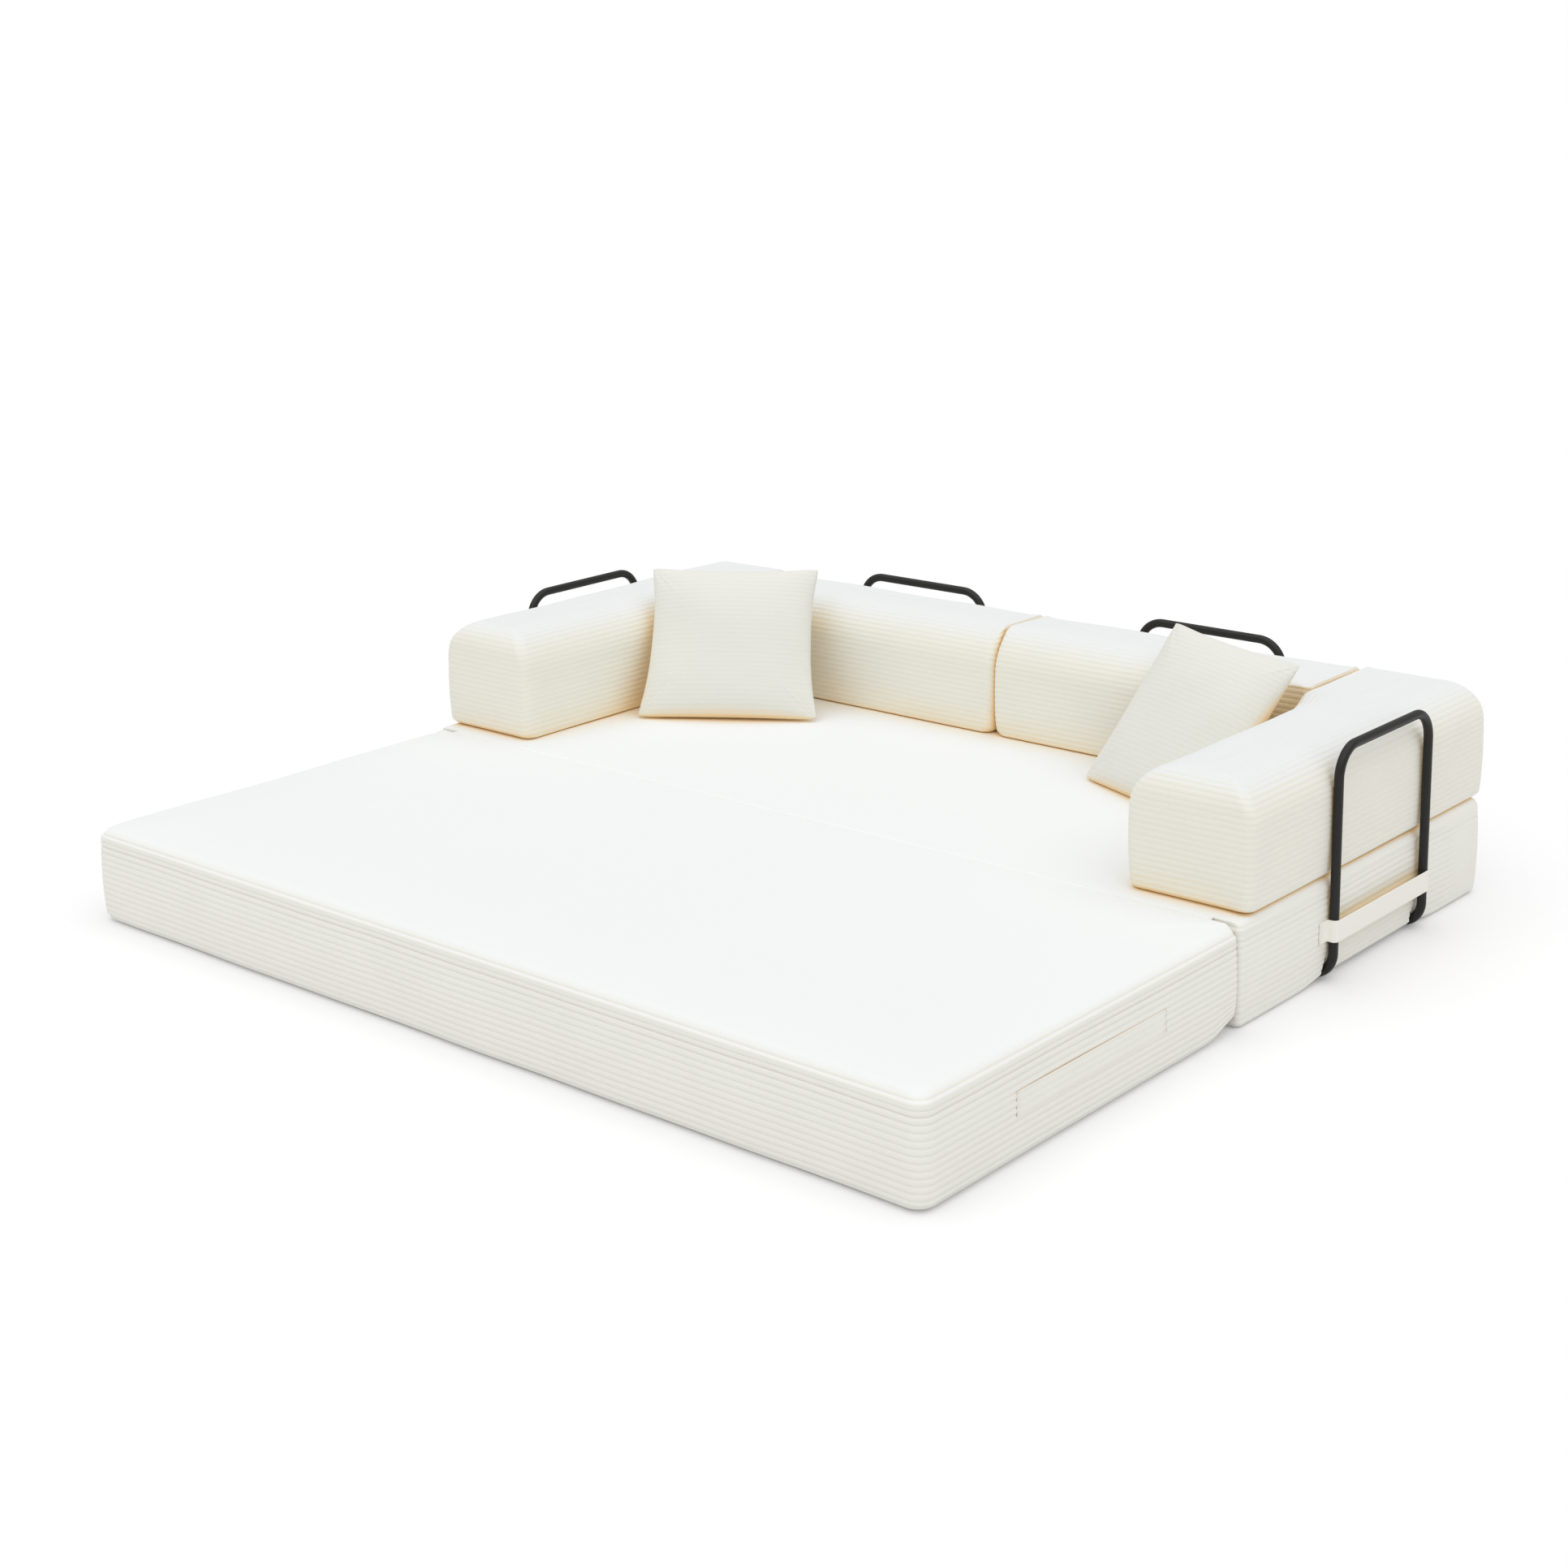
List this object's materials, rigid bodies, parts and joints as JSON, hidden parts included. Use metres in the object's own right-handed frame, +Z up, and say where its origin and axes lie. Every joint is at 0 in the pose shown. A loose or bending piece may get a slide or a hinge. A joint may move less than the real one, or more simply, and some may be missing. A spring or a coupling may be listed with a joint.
{
  "type": "sleeper sofa",
  "caption": "Low floor sleeper sofa laid out as a bed: a soft base with a hinged front slab, ribbed bolsters held by bent tube hoops, and scatter cushions.",
  "frame": {"origin": "on the floor, in the middle of the overall footprint", "axes": "+X along the bed's width, +Y from the front slab to the back bolsters, +Z up"},
  "size_m": [2.1004, 1.8708, 0.5114],
  "materials": {
    "slab_cloth": "fine ribbed upholstery cloth, matte",
    "ribbed_cloth": "ribbed upholstery cloth, matte",
    "foam": "open-cell foam",
    "cushion_filling": "loose fibre filling",
    "webbing": "plain woven tape",
    "tube": "satin black",
    "end_plug": "matte",
    "zip": "matte nylon"
  },
  "bodies": {
    "rear_base": {"back_left_hoop": "tube", "back_left_hoop_caps": "end_plug", "back_left_hoop_strap": "webbing", "back_right_hoop": "tube", "back_right_hoop_caps": "end_plug", "back_right_hoop_strap": "webbing", "fold_strip_rear": "slab_cloth", "left_hoop": "tube", "left_hoop_caps": "end_plug", "left_hoop_strap": "webbing", "rear_base_bottom_panel": "slab_cloth", "rear_base_foam": "foam", "rear_base_side_band": "slab_cloth", "rear_base_top_panel": "slab_cloth", "rear_base_zip": "zip", "right_hoop": "tube", "right_hoop_caps": "end_plug", "right_hoop_strap": "webbing"},
    "front_slab": {"fold_strip_front": "slab_cloth", "front_slab_bottom_panel": "slab_cloth", "front_slab_foam": "foam", "front_slab_left_strap": "webbing", "front_slab_right_strap": "webbing", "front_slab_side_band": "slab_cloth", "front_slab_top_panel": "slab_cloth", "front_slab_zip": "zip"},
    "left_arm_bolster": {"left_arm_cover": "ribbed_cloth", "left_arm_foam": "foam", "left_arm_zip": "zip"},
    "right_arm_bolster": {"right_arm_cover": "ribbed_cloth", "right_arm_foam": "foam", "right_arm_zip": "zip"},
    "back_left_bolster": {"back_left_cover": "ribbed_cloth", "back_left_foam": "foam", "back_left_zip": "zip"},
    "back_right_bolster": {"back_right_cover": "ribbed_cloth", "back_right_foam": "foam", "back_right_zip": "zip"},
    "left_cushion": {"left_cushion_cover": "ribbed_cloth", "left_cushion_filling": "cushion_filling", "left_cushion_zip": "zip"},
    "right_cushion": {"right_cushion_cover": "ribbed_cloth", "right_cushion_filling": "cushion_filling", "right_cushion_zip": "zip"}
  },
  "joints": [
    {"name": "front_slab_fold", "type": "hinge", "parent": "rear_base", "child": "front_slab", "pos_m": [0, -0.0301, 0.192], "axis": [-1, 0, 0], "range_deg": [0, 90]},
    {"name": "left_arm_bolster_lift", "type": "slide", "parent": "rear_base", "child": "left_arm_bolster", "axis": [0, 0, 1], "range_m": [0, 0.3]},
    {"name": "right_arm_bolster_lift", "type": "slide", "parent": "rear_base", "child": "right_arm_bolster", "axis": [0, 0, 1], "range_m": [0, 0.3]},
    {"name": "back_left_bolster_lift", "type": "slide", "parent": "rear_base", "child": "back_left_bolster", "axis": [0, 0, 1], "range_m": [0, 0.3]},
    {"name": "back_right_bolster_lift", "type": "slide", "parent": "rear_base", "child": "back_right_bolster", "axis": [0, 0, 1], "range_m": [0, 0.3]},
    {"name": "left_cushion_lift", "type": "slide", "parent": "left_arm_bolster", "child": "left_cushion", "axis": [0, 0, 1], "range_m": [0, 0.3]},
    {"name": "right_cushion_lift", "type": "slide", "parent": "back_right_bolster", "child": "right_cushion", "axis": [0, 0, 1], "range_m": [0, 0.3]}
  ]
}
